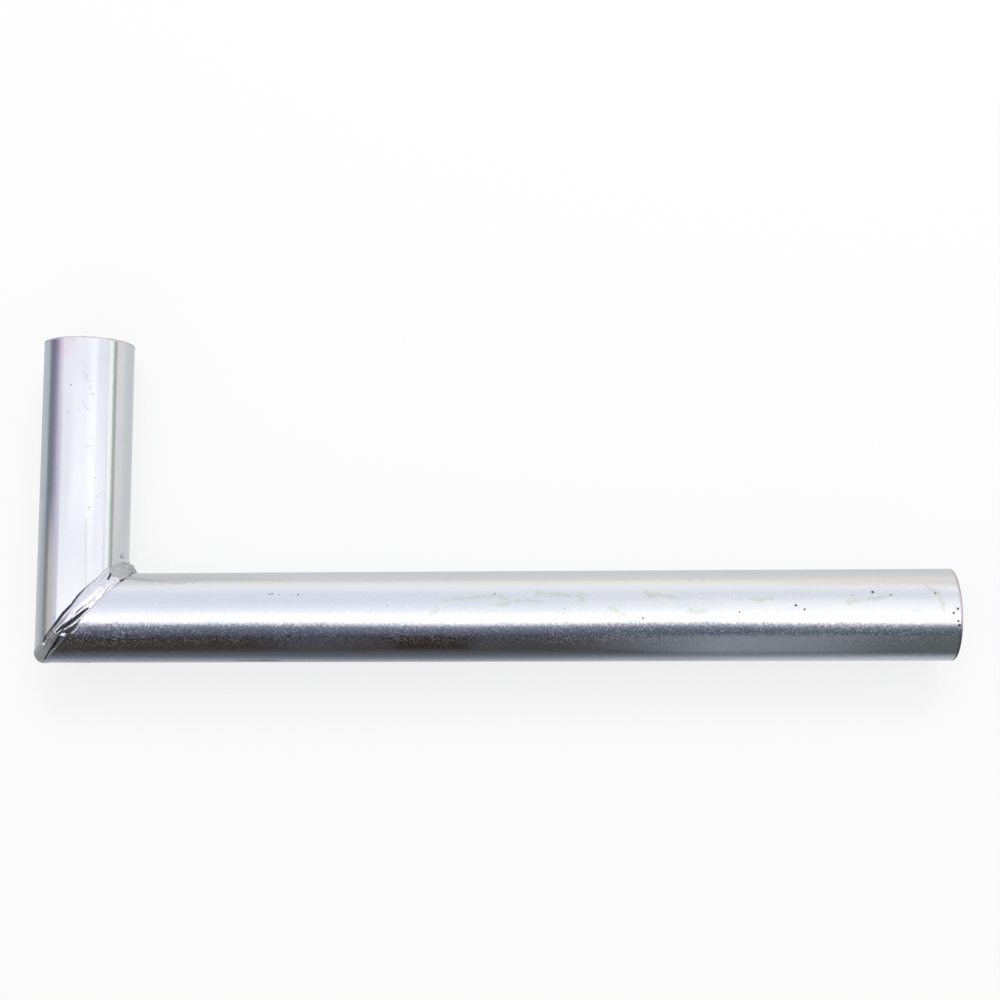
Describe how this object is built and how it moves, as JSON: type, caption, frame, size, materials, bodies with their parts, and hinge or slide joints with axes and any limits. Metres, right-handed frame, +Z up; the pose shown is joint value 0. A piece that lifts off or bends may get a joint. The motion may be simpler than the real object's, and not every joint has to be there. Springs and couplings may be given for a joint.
{
  "type": "scaffold wall anchor",
  "caption": "L-shaped scaffold wall anchor: a long and a short leg of round zinc-plated steel tube with open ends, mitred and welded at a right angle.",
  "frame": {"origin": "where the axes of the two legs cross", "axes": "+X along the long leg to its cut end, +Y along the short leg to its cut end, +Z up from the plane of the L, which lies flat"},
  "size_m": [0.4899, 0.1751, 0.0534],
  "materials": {
    "zinc_steel": "bright zinc plating with a faint blue and yellow passivated sheen and a fine grain",
    "zinc_weld": "zinc plating over a hand-laid, lumpy weld bead"
  },
  "bodies": {
    "root": {"long_tube": "zinc_steel", "short_tube": "zinc_steel", "weld_bead": "zinc_weld"}
  },
  "joints": []
}
